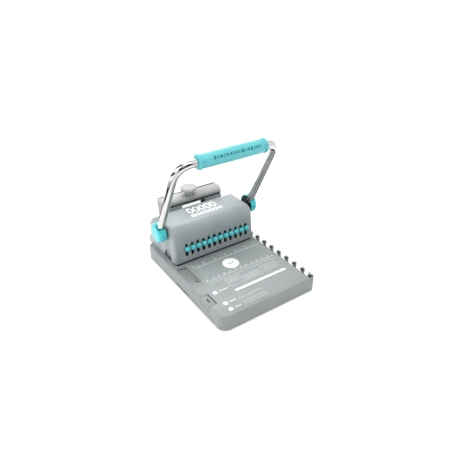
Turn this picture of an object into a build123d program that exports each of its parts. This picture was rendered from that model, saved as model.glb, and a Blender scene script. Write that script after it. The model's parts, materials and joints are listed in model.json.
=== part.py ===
"""Desktop wire-binding punch with a wire closer, in millimetres.

+X runs right along the punch row, +Y to the back and +Z up. The origin is on the table, in the middle of
the overall plan. The handle turns about a shaft along X: pulled forward and down, it lowers the punch bar
through two involute cams and raises the closing anvil at the back through two levers.
"""
from build123d import *
import math
import os

os.makedirs("parts", exist_ok=True)

# ---- Driving dimensions -------------------------------------------------------------------------------
PITCH = 12.7                  # hole pitch of 2:1 wire
PIN_COUNT = 12
PIN_XS = [(i - (PIN_COUNT - 1) / 2) * PITCH for i in range(PIN_COUNT)]
PIN_Y = 55.5
PIN_R = 3.0
FIT = 0.05                    # radial clearance of a running fit
GAP = 0.4                     # air between bodies that only pass each other
PAST = 1.0                    # how far a cut runs past the face that it opens

# Base
BASE_X = 105.0
BASE_FRONT, BASE_REAR = -145.5, 132.5
WALL = 3.0
FOOT_H, PLATE_Z = 2.0, 4.2    # underside and top of the bottom plate
DECK_Z = 32.0
PAPER_Z = 30.8                # the deck sinks a little where the paper lies
CAVITY_Z = 24.0
PAPER_Y = -49.5               # front edge of the sunk area
PAPER_X = -101.0
LEDGE_X, LEDGE_Z = 91.5, 19.0
LEDGE_FRONT, LEDGE_REAR = -128.0, 48.0
FEET = [(-82, -116), (82, -116), (-82, 104), (82, 104)]
FOOT_R = 9.0
BOSS_R, THREAD_R, BASE_SCREW_HEAD_R = 4.5, 1.6, 3.3
SCREWS = [(-88, -130), (88, -130), (-88, 118), (88, 118), (78, -20), (78, 38)]
POCKET = (-99.5, -78.6, -36.5, 19.5)          # edge guide's pocket: x0, x1, y0, y1
POCKET_Z = 27.0
LATCH = (-105.0, -89.8, -105.0, -76.0)        # latch seen from above: x0, x1, y0, y1
LATCH_GAP = 0.9
LATCH_Z, LATCH_LOW = 28.4, 17.4               # undersides of its top plate and of its hanging lip
LATCH_PIN_R = 1.0
CHUTE = (-76.0, 76.0, 50.0, 61.0)             # opening below the die
DIE_Y, DIE_T = (29.5, 69.5), 5.0              # the die's pocket in the deck, and its depth
DRAWER_Y = (-119.0, 97.0)
DRAWER_TOP = 15.5
DRAWER_REACH = 55.0           # x of the drawer's inner end

# Punch housing
HOUSE_L, HOUSE_R = -96.0, 88.0
MID = (HOUSE_L + HOUSE_R) / 2
HOUSE_TOP, HOUSE_REAR = 106.7, 103.5
FACE_LOW, FACE_HIGH = (27.0, 35.6), (31.5, 85.0)      # (y, z) ends of the leaning front face
CROWN_Y = 53.0                # where the top turns down towards the face
SKIN = 3.0
KNOB_Z = 63.6
SLOT_W, SLOT_LOW, SLOT_HIGH = 6.5, 45.6, 73.5

# Shaft and handle
PIVOT_Y, PIVOT_Z = 70.5, 89.0
SHAFT_R = 6.0
SHAFT_END = 108.0
BUSH_R, BUSH_FLANGE_R = 8.0, 10.5
ARM_X, ARM_LEN = 105.0, 187.0
ARM_LEAN = math.radians(27.5)
TUBE_R, TUBE_BORE, BEND_R = 7.25, 5.85, 30.0
GRIP = (-66.0, 74.5)          # ends of the grip, which sits a little to the right
SWING = math.radians(60)
PUNCH_STROKE = 12.0
CAM_BASE = PUNCH_STROKE / SWING               # base circle of the involute
CAM_DROP = 12.0               # from the shaft axis down to the punch bar at rest
LEVER_LEN, LEVER_DIP = 18.0, math.radians(35)
ROLLER_R = 3.0
COVER_X, COVER_OUT, COVER_R = 99.6, 115.6, 19.6      # a pivot cover's rim, outer face and radius
COVER_WALL = 1.6
COVER_SHIFT = 4.5             # the covers sit this far up the arms from the shaft

# Closer
BAR_L, BAR_R = -70.0, 69.5
BAR_FRONT, BAR_REAR = 119.5, 145.5
BAR_LOW, BAR_TOP = 107.8, 121.5
PRESS_Z = 86.0                # underside of the pressing foot
STRIP_Y, STRIP_TOP = 119.0, 105.0
WEB_FRONT = 121.9
JAW_Y = 130.4                 # back of the fixed bulkhead, where the jaw begins
ANVIL_Z = 56.0
POST_R = 3.5
POST_XS = [MID - 58, MID + 58]
POST_FRONT_Y, POST_REAR_Y = 112.5, 126.5      # the front posts guide the anvil, the rear ones the press bar
POST_LOW, SHELF_Z0, SHELF_Z1 = 34.0, 76.0, 84.0       # the rear posts stand on a shelf
CARRIAGE_HALF = 80.5
KNOB_X, KNOB_Y = -6.0, 126.0
SIZING_R, SIZING_LOW, SIZING_TOP = 3.0, 60.0, 128.0


def at_x(x):
    """Plane standing at x, with its sketch along Y and Z."""
    return Plane(origin=(x, 0, 0), x_dir=(0, 1, 0), z_dir=(1, 0, 0))


def at_y(y):
    """Plane standing at y and facing the front, with its sketch along X and Z."""
    return Plane(origin=(0, y, 0), x_dir=(1, 0, 0), z_dir=(0, -1, 0))


def block(x0, x1, y0, y1, z0, z1, mode=Mode.ADD):
    """Add or cut a block given by its two corners, inside the current part."""
    with Locations(((x0 + x1) / 2, (y0 + y1) / 2, (z0 + z1) / 2)):
        Box(x1 - x0, y1 - y0, z1 - z0, mode=mode)


def rod(r, z0, z1, mode=Mode.ADD):
    """Add or cut an upright cylinder at the current locations, inside the current part."""
    with Locations((0, 0, z0)):
        Cylinder(r, z1 - z0, align=(Align.CENTER, Align.CENTER, Align.MIN), mode=mode)


# ---- Base ---------------------------------------------------------------------------------------------
with BuildPart() as base_shell:
    with BuildSketch(Plane.XY.offset(FOOT_H)) as plan:
        with Locations((0, (BASE_FRONT + BASE_REAR) / 2)):
            Rectangle(2 * BASE_X, BASE_REAR - BASE_FRONT)
        fillet(plan.vertices().group_by(Axis.Y)[0].sort_by(Axis.X)[0], 17)
        fillet(plan.vertices().group_by(Axis.Y)[0].sort_by(Axis.X)[-1], 9)
        fillet(plan.vertices().group_by(Axis.Y)[-1], 10)
    extrude(amount=DECK_Z - FOOT_H)
    fillet(base_shell.faces().sort_by(Axis.Z)[-1].edges(), 2.5)
    with BuildSketch(Plane.XY.offset(FOOT_H)):
        offset(plan.sketch, -WALL)
    extrude(amount=LEDGE_Z - WALL - FOOT_H, mode=Mode.SUBTRACT)
    block(-BASE_X + WALL, LEDGE_X - WALL, BASE_FRONT + 9, BASE_REAR - 9, 10, CAVITY_Z, Mode.SUBTRACT)
    block(LEDGE_X, BASE_X + 1, LEDGE_FRONT, LEDGE_REAR, LEDGE_Z, DECK_Z + 1, Mode.SUBTRACT)
    with BuildSketch(Plane.XY.offset(LEDGE_Z)):
        offset(plan.sketch, -2.5)
        with Locations((LEDGE_X + 10, LEDGE_FRONT - 10)):
            Rectangle(20, 21, mode=Mode.INTERSECT)
    extrude(amount=DECK_Z, mode=Mode.SUBTRACT)
    block(PAPER_X, LEDGE_X + PAST, PAPER_Y, 22, PAPER_Z, DECK_Z + PAST, Mode.SUBTRACT)
    block(HOUSE_L + 3.2, HOUSE_R - 3.2, 20, 92.2, PAPER_Z, DECK_Z + 1, Mode.SUBTRACT)
    block(*POCKET, POCKET_Z, DECK_Z + 1, Mode.SUBTRACT)
    latch_y = (LATCH[2] - LATCH_GAP, LATCH[3] + LATCH_GAP)
    block(LATCH[0] - PAST, LATCH[1] + LATCH_GAP, *latch_y, LATCH_Z - 1, DECK_Z + PAST, Mode.SUBTRACT)
    block(LATCH[0] - PAST, LATCH[0] + WALL, *latch_y, LATCH_LOW - 0.6, DECK_Z + PAST, Mode.SUBTRACT)
    block(-BASE_X - 1, -BASE_X + WALL, DRAWER_Y[0] - GAP, DRAWER_Y[1] + GAP, PLATE_Z, DRAWER_TOP + GAP,
          Mode.SUBTRACT)
    block(HOUSE_L + 4, HOUSE_R - 4, *DIE_Y, PAPER_Z - DIE_T, DECK_Z + 1, Mode.SUBTRACT)
    block(*CHUTE, CAVITY_Z - 1, DECK_Z, Mode.SUBTRACT)
    with Locations(*SCREWS):
        rod(BOSS_R, PLATE_Z, CAVITY_Z + 1)
        rod(THREAD_R, PLATE_Z, 17, Mode.SUBTRACT)
base_shell.part.label = "base_shell"
export_step(base_shell.part, "parts/base_shell.step")

with BuildPart() as base_bottom:
    with BuildSketch(Plane.XY.offset(FOOT_H)):
        offset(plan.sketch, -WALL - 0.2)
    extrude(amount=PLATE_Z - FOOT_H)
    with Locations(*[(x, y, FOOT_H) for x, y in SCREWS]):
        Cylinder(THREAD_R + 0.2, 6, mode=Mode.SUBTRACT)
        Cylinder(BASE_SCREW_HEAD_R + 0.3, 2.4, mode=Mode.SUBTRACT)
base_bottom.part.label = "base_bottom"
export_step(base_bottom.part, "parts/base_bottom.step")

with BuildPart() as rubber_feet:
    with Locations(*FEET):
        rod(FOOT_R, 0, FOOT_H)
    chamfer(rubber_feet.faces().group_by(Axis.Z)[0].edges(), 0.6)
rubber_feet.part.label = "rubber_feet"
export_step(rubber_feet.part, "parts/rubber_feet.step")

with BuildPart() as base_screws:
    with Locations(*SCREWS):
        rod(BASE_SCREW_HEAD_R, FOOT_H + 0.1, FOOT_H + 1.2)
        rod(THREAD_R, FOOT_H + 1.2, 14)
base_screws.part.label = "base_screws"
export_step(base_screws.part, "parts/base_screws.step")

# The chip drawer slides out to the left, between the bottom plate and the deck.
with BuildPart() as chip_drawer:
    block(-BASE_X + WALL, DRAWER_REACH, DRAWER_Y[0] + 1, DRAWER_Y[1] - 1, PLATE_Z + GAP, DRAWER_TOP - 0.5)
    block(-BASE_X + WALL + 2, DRAWER_REACH - 2, DRAWER_Y[0] + 3, DRAWER_Y[1] - 3, PLATE_Z + GAP + 2,
          DRAWER_TOP + 1, Mode.SUBTRACT)
    block(-BASE_X, -BASE_X + WALL, DRAWER_Y[0], DRAWER_Y[1], PLATE_Z + GAP, DRAWER_TOP)
    with BuildSketch(at_x(-BASE_X)):
        with Locations((-10, PLATE_Z + 2.2)):
            SlotOverall(46, 3.2)
    extrude(amount=1.6, mode=Mode.SUBTRACT)
chip_drawer.part.label = "chip_drawer"
export_step(chip_drawer.part, "parts/chip_drawer.step")

# The latch is a clip hooked over the deck's left edge, hinged on a pin along its inner side.
LATCH_PIN_X, LATCH_PIN_Z = LATCH[1] - 2.0, 29.4
with BuildPart() as drawer_latch:
    block(LATCH[0], LATCH[1] - 2.0, LATCH[2], LATCH[3], LATCH_Z, DECK_Z)
    block(LATCH[0], LATCH[0] + 2.2, LATCH[2], LATCH[3], LATCH_LOW, DECK_Z)
    fillet(drawer_latch.edges().filter_by(Axis.Y).group_by(Axis.Z)[-1].sort_by(Axis.X)[0], 2.0)
    with BuildSketch(at_y(LATCH[3])):
        with Locations((LATCH_PIN_X, LATCH_PIN_Z)):
            Circle(1.9)
    extrude(amount=LATCH[3] - LATCH[2])
    with BuildSketch(at_y(LATCH[3] + 1)):
        with Locations((LATCH_PIN_X, LATCH_PIN_Z)):
            Circle(LATCH_PIN_R + FIT)
    extrude(amount=LATCH[3] - LATCH[2] + 2, mode=Mode.SUBTRACT)
    block(-99.6, -96.8, -96.5, -86.0, 27, DECK_Z + 1, Mode.SUBTRACT)
drawer_latch.part.label = "drawer_latch"
export_step(drawer_latch.part, "parts/drawer_latch.step")

with BuildPart() as latch_pin:
    with BuildSketch(at_y(LATCH[3] + LATCH_GAP)):
        with Locations((LATCH_PIN_X, LATCH_PIN_Z)):
            Circle(LATCH_PIN_R)
    extrude(amount=LATCH[3] - LATCH[2] + 2 * LATCH_GAP)
latch_pin.part.label = "latch_pin"
export_step(latch_pin.part, "parts/latch_pin.step")

# Eight hooks hold a wire open while the sheets are threaded on to it. Each has a rubber pad under its hood.
HOOK_COUNT, HOOK_PITCH, HOOK_W = 8, 23.3, 5.0
HOOK_REAR_Y = 24.3
LAST_HOOK_SHIFT = -1.8        # the last hook stands further in, at the rounded corner
HOOKS = [(0.0, HOOK_REAR_Y - HOOK_PITCH * i) for i in range(HOOK_COUNT - 1)]
HOOKS.append((LAST_HOOK_SHIFT, HOOK_REAR_Y - HOOK_PITCH * (HOOK_COUNT - 1)))
HOOD_R, HOOD_AT = 4.3, (98.4, 32.8)
PAD_R, PAD_AT = 2.6, (96.3, 33.4)
STEM = (97.6, 102.7)
with BuildPart() as wire_hooks:
    block(96.5, 100.4, HOOKS[-1][1] - HOOK_W / 2, 34, LEDGE_Z, LEDGE_Z + 2.5)
    for dx, y in HOOKS:
        with BuildSketch(at_y(y + HOOK_W / 2)):
            with Locations((HOOD_AT[0] + dx, HOOD_AT[1])):
                Circle(HOOD_R)
            with Locations(((STEM[0] + STEM[1]) / 2 + dx, (LEDGE_Z + HOOD_AT[1]) / 2)):
                Rectangle(STEM[1] - STEM[0], HOOD_AT[1] - LEDGE_Z)
            with Locations((STEM[0] - 3 + dx, PAD_AT[1] - 4)):
                Rectangle(6, 5, mode=Mode.SUBTRACT)
            with Locations((PAD_AT[0] + dx, PAD_AT[1])):
                Circle(PAD_R + FIT, mode=Mode.SUBTRACT)
        extrude(amount=HOOK_W)
wire_hooks.part.label = "wire_hooks"
export_step(wire_hooks.part, "parts/wire_hooks.step")

with BuildPart() as hook_pads:
    for dx, y in HOOKS:
        with BuildSketch(at_y(y + HOOK_W / 2 + 0.3)):
            with Locations((PAD_AT[0] + dx, PAD_AT[1])):
                Circle(PAD_R)
        extrude(amount=HOOK_W + 0.6)
    fillet(hook_pads.edges().filter_by(GeomType.CIRCLE), 0.8)
hook_pads.part.label = "hook_pads"
export_step(hook_pads.part, "parts/hook_pads.step")

# The edge guide is an angle that slides across its pocket to set the margin.
GUIDE_X = -80.6
with BuildPart() as edge_guide:
    with BuildSketch(at_x(GUIDE_X - 1.6)):
        with BuildLine():
            Polyline((-34.5, POCKET_Z + GAP), (-34.5, 31.0), (-28.5, 36.5), (15.0, 38.5), (17.5, 38.5),
                     (17.5, POCKET_Z + GAP), close=True)
        make_face()
    extrude(amount=3.2)
    block(GUIDE_X - 5.5, GUIDE_X, -28.0, 12.0, POCKET_Z + GAP, POCKET_Z + 2.0)
edge_guide.part.label = "edge_guide"
export_step(edge_guide.part, "parts/edge_guide.step")

BADGE_AT, BADGE_R, BADGE_T = (-1.5, -20.1), 16.5, 0.5
with BuildPart() as deck_badge:
    with Locations(BADGE_AT):
        rod(BADGE_R, PAPER_Z, PAPER_Z + BADGE_T)
deck_badge.part.label = "deck_badge"
export_step(deck_badge.part, "parts/deck_badge.step")

# ---- Die and guides -----------------------------------------------------------------------------------
with BuildPart() as die_plate:
    block(HOUSE_L + 4.1, HOUSE_R - 4.1, DIE_Y[0] + 0.1, DIE_Y[1] - 0.1, PAPER_Z - DIE_T, PAPER_Z)
    with Locations(*[(x, PIN_Y, PAPER_Z) for x in PIN_XS]):
        Cylinder(PIN_R + 0.08, 20, mode=Mode.SUBTRACT)
die_plate.part.label = "die_plate"
export_step(die_plate.part, "parts/die_plate.step")

GUIDE_LOW, GUIDE_TOP = 35.6, 47.0
GUIDE_L, GUIDE_R = HOUSE_L + 5.6, HOUSE_R - 5.6
GUIDE_Y = (42.0, 66.0)
GUIDE_POST_R, GUIDE_POST_TOP = 3.0, 80.0
POSTS = [(-6 * PITCH, 47.0), (6 * PITCH, 47.0)]
with BuildPart() as punch_guide:
    block(GUIDE_L, GUIDE_R, GUIDE_Y[0], GUIDE_Y[1], GUIDE_LOW, GUIDE_TOP)
    with Locations(*[(x, PIN_Y, GUIDE_LOW) for x in PIN_XS]):
        Cylinder(PIN_R + FIT, 60, mode=Mode.SUBTRACT)
    with Locations(*POSTS):
        rod(GUIDE_POST_R, GUIDE_LOW + 2, GUIDE_TOP + PAST, Mode.SUBTRACT)
punch_guide.part.label = "punch_guide"
export_step(punch_guide.part, "parts/punch_guide.step")

STOP_Y = 69.4
with BuildPart() as paper_stop:
    block(GUIDE_L, GUIDE_R, GUIDE_Y[1], STOP_Y, PAPER_Z, GUIDE_TOP - 2.5)
    block(GUIDE_L, GUIDE_R, STOP_Y, 92.0, PAPER_Z, PAPER_Z + 3)
paper_stop.part.label = "paper_stop"
export_step(paper_stop.part, "parts/paper_stop.step")

with BuildPart() as punch_posts:
    with Locations(*POSTS):
        rod(GUIDE_POST_R, GUIDE_LOW + 2, GUIDE_POST_TOP)
punch_posts.part.label = "punch_posts"
export_step(punch_posts.part, "parts/punch_posts.step")

# ---- Punch bar, pins, springs and selector knobs ------------------------------------------------------
BAR_Z0, BAR_Z1 = 60.0, PIVOT_Z - CAM_DROP - 0.1
BAR_Y0, SKIRT_Y0, SKIRT_Z0 = 42.5, 40.0, 50.0         # the skirt closes the view through the knob slots
EAR_XS = [MID - 36, MID + 36]
SPRING_Y = 80.0
STEM_R, STEM_END = 2.0, 49.0
PIN_SEAT = 8.0                # depth that a punch pin is seated in the bar
with BuildPart() as punch_bar:
    block(GUIDE_L + 6, GUIDE_R - 3, BAR_Y0, GUIDE_Y[1], BAR_Z0, BAR_Z1)
    block(GUIDE_L + 6, GUIDE_R - 3, SKIRT_Y0, SKIRT_Y0 + 1.5, SKIRT_Z0, BAR_Z1)
    block(GUIDE_L + 6, GUIDE_R - 3, SKIRT_Y0, BAR_Y0, BAR_Z1 - 3, BAR_Z1)
    for x in EAR_XS:
        block(x - 8, x + 8, 66.0, 87.0, BAR_Z0, BAR_Z0 + 7)
    with Locations(*POSTS):
        rod(GUIDE_POST_R + FIT, BAR_Z0 - PAST, BAR_Z1 + PAST, Mode.SUBTRACT)
    with Locations(*[(x, PIN_Y) for x in PIN_XS]):
        rod(PIN_R, BAR_Z0 - PAST, BAR_Z0 + PIN_SEAT, Mode.SUBTRACT)
    for x in PIN_XS:
        with BuildSketch(at_y(PIN_Y - 6)):
            with Locations((x, KNOB_Z)):
                Circle(STEM_R + FIT)
        extrude(amount=20, mode=Mode.SUBTRACT)
punch_bar.part.label = "punch_bar"
export_step(punch_bar.part, "parts/punch_bar.step")

with BuildPart() as punch_pins:
    with Locations(*[(x, PIN_Y) for x in PIN_XS]):
        rod(PIN_R, GUIDE_LOW + 0.6, BAR_Z0 + PIN_SEAT)
punch_pins.part.label = "punch_pins"
export_step(punch_pins.part, "parts/punch_pins.step")

SPRING_WIRE, SPRING_TURNS = 0.7, 6
SPRING_Z0 = PAPER_Z + 3
SPRING_H = BAR_Z0 - SPRING_Z0 - 2 * SPRING_WIRE - 0.1
with BuildPart() as return_springs:
    for x in EAR_XS:
        with BuildLine(Plane(origin=(x, SPRING_Y, SPRING_Z0 + SPRING_WIRE + 0.05))) as coil:
            Helix(SPRING_H / SPRING_TURNS, SPRING_H, 5.0)
        with BuildSketch(Plane(origin=coil.line @ 0, z_dir=coil.line % 0)):
            Circle(SPRING_WIRE)
        sweep(path=coil.line, is_frenet=True)
return_springs.part.label = "return_springs"
export_step(return_springs.part, "parts/return_springs.step")

# Each knob is a domed head on a stem that runs through the face's slot into the punch bar.
HEAD_R, HEAD_BACK, HEAD_FRONT = 5.25, 27.4, 21.2
DOME_H = 4.0
DOME_R = (DOME_H ** 2 + HEAD_R ** 2) / (2 * DOME_H)
DOME_SPAN = math.degrees(math.acos((DOME_R - DOME_H) / DOME_R))
for i, x in enumerate(PIN_XS, start=1):
    with BuildPart() as pin_knob:
        with BuildSketch(Plane(origin=(x, 0, KNOB_Z), x_dir=(0, 1, 0), z_dir=(1, 0, 0))):
            with BuildLine():
                dome = CenterArc((HEAD_FRONT + DOME_R, 0), DOME_R, 180, -DOME_SPAN)
                Polyline(dome @ 0, (STEM_END, 0), (STEM_END, STEM_R), (HEAD_BACK, STEM_R),
                         (HEAD_BACK, HEAD_R - 0.7), (HEAD_BACK - 0.7, HEAD_R), dome @ 1)
            make_face()
        revolve(axis=Axis((x, 0, KNOB_Z), (0, 1, 0)))
    pin_knob.part.label = f"pin_knob_{i:02d}"
    export_step(pin_knob.part, f"parts/pin_knob_{i:02d}.step")

# ---- Punch housing ------------------------------------------------------------------------------------
FACE_SLOPE = (FACE_HIGH[0] - FACE_LOW[0]) / (FACE_HIGH[1] - FACE_LOW[1])
CROWN_CORNER = (FACE_LOW[0] + (HOUSE_TOP - FACE_LOW[1]) * FACE_SLOPE, HOUSE_TOP)
SIDE_Y = 40.0                 # from here back the side walls stand on the base
with BuildPart() as housing:
    with BuildSketch(at_x(HOUSE_L)) as section:
        with BuildLine():
            Polyline(FACE_LOW, CROWN_CORNER, (HOUSE_REAR, HOUSE_TOP), (HOUSE_REAR, DECK_Z), (SIDE_Y, DECK_Z),
                     (SIDE_Y, FACE_LOW[1]), close=True)
        make_face()
        fillet(section.vertices().sort_by_distance(CROWN_CORNER + (0,))[0], CROWN_Y - CROWN_CORNER[0])
    extrude(amount=HOUSE_R - HOUSE_L)
    ends = housing.faces().group_by(Axis.X)
    rim = (ends[0] + ends[-1]).edges()
    fillet(rim.filter_by(lambda e: e.center().Z > 36 and e.center().Y < HOUSE_REAR - 1), 6.5)
    with BuildSketch(at_x(HOUSE_L + SKIN)) as hollow:
        with BuildLine():
            Polyline((FACE_LOW[0] + SKIN - 0.5, 30), (CROWN_CORNER[0] + SKIN, HOUSE_TOP - SKIN),
                     (HOUSE_REAR + 1, HOUSE_TOP - SKIN), (HOUSE_REAR + 1, 30), close=True)
        make_face()
        fillet(hollow.vertices().sort_by_distance((CROWN_CORNER[0] + SKIN, HOUSE_TOP - SKIN, 0))[0], 17)
    extrude(amount=HOUSE_R - HOUSE_L - 2 * SKIN, mode=Mode.SUBTRACT)
    for x in PIN_XS:
        with BuildSketch(at_y(40)):
            with Locations((x, (SLOT_LOW + SLOT_HIGH) / 2)):
                SlotOverall(SLOT_HIGH - SLOT_LOW, SLOT_W, rotation=90)
        extrude(amount=20, mode=Mode.SUBTRACT)
    with BuildSketch(at_x(HOUSE_L - 1)):
        with Locations((PIVOT_Y, PIVOT_Z)):
            Circle(BUSH_R)
    extrude(amount=HOUSE_R - HOUSE_L + 2, mode=Mode.SUBTRACT)
    with BuildSketch(at_x(HOUSE_L - 1)):
        with BuildLine():
            Polyline((75.0, DECK_Z - 1), (46.5, DECK_Z - 1), (46.5, 44.0))
            ThreePointArc((46.5, 44.0), (50.5, 52.0), (58.0, 55.0))
            Polyline((58.0, 55.0), (64.0, 53.0), (75.0, 40.0), (75.0, DECK_Z - 1))
        make_face()
    extrude(amount=SKIN + 1.5, mode=Mode.SUBTRACT)
housing.part.label = "housing"
export_step(housing.part, "parts/housing.step")

PLATE_T = 2.4
for name, x in (("left", HOUSE_L + SKIN + 0.1), ("right", HOUSE_R - SKIN - 0.1 - PLATE_T)):
    with BuildPart() as side_plate:
        with BuildSketch(at_x(x)):
            with BuildLine():
                Polyline((GUIDE_Y[0], GUIDE_LOW), (GUIDE_Y[1], GUIDE_LOW), (GUIDE_Y[1], DECK_Z), (98, DECK_Z),
                         (98, 96), (88, 102), (56, 102), (GUIDE_Y[0], 90), close=True)
            make_face()
            with Locations((PIVOT_Y, PIVOT_Z)):
                Circle(BUSH_R, mode=Mode.SUBTRACT)
        extrude(amount=PLATE_T)
    side_plate.part.label = f"side_plate_{name}"
    export_step(side_plate.part, f"parts/side_plate_{name}.step")

# ---- Shaft, cams, levers and handle -------------------------------------------------------------------


def disc(r, x0, x1, mode=Mode.ADD):
    """Add or cut a cylinder on the shaft's axis from x0 to x1, inside the current part."""
    with Locations(Location(((x0 + x1) / 2, PIVOT_Y, PIVOT_Z), (0, 90, 0))):
        Cylinder(r, abs(x1 - x0), mode=mode)


with BuildPart() as shaft_bushes:
    for wall, inner, side in ((HOUSE_L, GUIDE_L - 0.1, -1), (HOUSE_R, GUIDE_R + 0.1, 1)):
        disc(BUSH_R, inner, wall)
        disc(BUSH_FLANGE_R, wall, wall + side * 1.2)
        disc(SHAFT_R + FIT, inner - side, wall + side * 2, Mode.SUBTRACT)
shaft_bushes.part.label = "shaft_bushes"
export_step(shaft_bushes.part, "parts/shaft_bushes.step")

with BuildPart() as pivot_shaft:
    disc(SHAFT_R, -SHAFT_END, SHAFT_END)
    disc(2.5, -SHAFT_END - 1, -SHAFT_END + 12, Mode.SUBTRACT)
    disc(2.5, SHAFT_END + 1, SHAFT_END - 12, Mode.SUBTRACT)
pivot_shaft.part.label = "pivot_shaft"
export_step(pivot_shaft.part, "parts/pivot_shaft.step")


def cam_point(t):
    """Point (y, z) of the involute at roll angle t, with the cam in its rest position."""
    turn = CAM_DROP / CAM_BASE
    u = CAM_BASE * (math.cos(t - turn) + t * math.sin(t - turn))
    v = CAM_BASE * (math.sin(t - turn) - t * math.cos(t - turn))
    return PIVOT_Y - u, PIVOT_Z + v


CAM_END = (CAM_DROP + PUNCH_STROKE) / CAM_BASE + 0.1
CAM_HUB, CAM_T = 11.2, 6.0
with BuildPart() as press_cams:
    for x in (MID - 56, MID + 56):
        with BuildSketch(at_x(x - CAM_T / 2)):
            with BuildLine():
                Spline(*[cam_point(CAM_END * k / 10) for k in range(11)])
                ThreePointArc(cam_point(CAM_END), (PIVOT_Y - 15, PIVOT_Z + 8), (PIVOT_Y, PIVOT_Z + CAM_HUB))
                ThreePointArc((PIVOT_Y, PIVOT_Z + CAM_HUB), (PIVOT_Y + CAM_HUB, PIVOT_Z), cam_point(0))
            make_face()
        extrude(amount=CAM_T)
    disc(SHAFT_R, -SHAFT_END, SHAFT_END, Mode.SUBTRACT)
press_cams.part.label = "press_cams"
export_step(press_cams.part, "parts/press_cams.step")

ROLLER = (PIVOT_Y + LEVER_LEN * math.cos(LEVER_DIP), PIVOT_Z - LEVER_LEN * math.sin(LEVER_DIP))
LEVER_T = 4.0
LEVERS = [(MID - 72, -1), (MID + 72, 1)]
with BuildPart() as lift_levers:
    for x, side in LEVERS:
        with BuildSketch(at_x(x - LEVER_T / 2)):
            with Locations((PIVOT_Y, PIVOT_Z)):
                Circle(10.0)
            with Locations(ROLLER):
                Circle(5.6)
            with BuildLine():
                Polyline((PIVOT_Y - 1, PIVOT_Z - 9.5), (ROLLER[0] - 2, ROLLER[1] - 5),
                         (ROLLER[0] + 3, ROLLER[1] + 4.5), (PIVOT_Y + 8, PIVOT_Z + 5), close=True)
            make_face()
            with Locations(ROLLER):
                Circle(ROLLER_R, mode=Mode.SUBTRACT)
        extrude(amount=LEVER_T)
    disc(SHAFT_R, -SHAFT_END, SHAFT_END, Mode.SUBTRACT)
lift_levers.part.label = "lift_levers"
export_step(lift_levers.part, "parts/lift_levers.step")

ARM_PLATE_DX = 78.5           # carriage arms, outboard of the levers
with BuildPart() as lever_rollers:
    for x, side in LEVERS:
        inner, outer = x - side * LEVER_T / 2, MID + side * (ARM_PLATE_DX + 2.3)
        with BuildSketch(at_x(min(inner, outer))):
            with Locations(ROLLER):
                Circle(ROLLER_R)
        extrude(amount=abs(outer - inner))
lever_rollers.part.label = "lever_rollers"
export_step(lever_rollers.part, "parts/lever_rollers.step")

ARM_DIR = (0, -math.sin(ARM_LEAN), math.cos(ARM_LEAN))
HANDLE_PLANE = Plane(origin=(0, PIVOT_Y, PIVOT_Z), x_dir=(1, 0, 0),
                     z_dir=(0, -math.cos(ARM_LEAN), -math.sin(ARM_LEAN)))


def along_arm(x, s):
    """Plane across a handle arm, s from the shaft's axis."""
    place = (x, PIVOT_Y + s * ARM_DIR[1], PIVOT_Z + s * ARM_DIR[2])
    return Plane(origin=place, x_dir=(1, 0, 0), z_dir=ARM_DIR)


HUB_R, TUBE_START = 12.0, 14.3
HUB_IN, HUB_OUT = 98.9, 111.2
COVER_AT = (PIVOT_Y + COVER_SHIFT * ARM_DIR[1], PIVOT_Z + COVER_SHIFT * ARM_DIR[2])
SCREW_R, SCREW_HEAD_R = 2.5, 3.7
for name, side in (("left", -1), ("right", 1)):
    with BuildPart() as arm_hub:
        with BuildSketch(at_x(min(side * (COVER_X + 0.6), side * (COVER_X + 2.2)))):
            with Locations(COVER_AT):
                Circle(COVER_R - COVER_WALL - 0.3)
        extrude(amount=COVER_WALL)
        with BuildSketch(along_arm(side * ARM_X, TUBE_START - 0.1)):
            Circle(TUBE_R + 0.3)
        extrude(amount=20, mode=Mode.SUBTRACT)
        disc(HUB_R, side * HUB_IN, side * HUB_OUT)
        with BuildSketch(along_arm(side * ARM_X, HUB_R - 3)):
            Circle(TUBE_BORE)
        extrude(amount=18)
        disc(SHAFT_R, side * (HUB_IN - PAST), side * SHAFT_END, Mode.SUBTRACT)
        disc(SCREW_R, side * SHAFT_END, side * (HUB_OUT + PAST), Mode.SUBTRACT)
    arm_hub.part.label = f"arm_hub_{name}"
    export_step(arm_hub.part, f"parts/arm_hub_{name}.step")

with BuildPart() as hub_screws:
    for side in (-1, 1):
        disc(SCREW_R, side * (SHAFT_END - 12), side * HUB_OUT)
        disc(SCREW_HEAD_R, side * HUB_OUT, side * (HUB_OUT + 1.8))
hub_screws.part.label = "hub_screws"
export_step(hub_screws.part, "parts/hub_screws.step")

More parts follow.
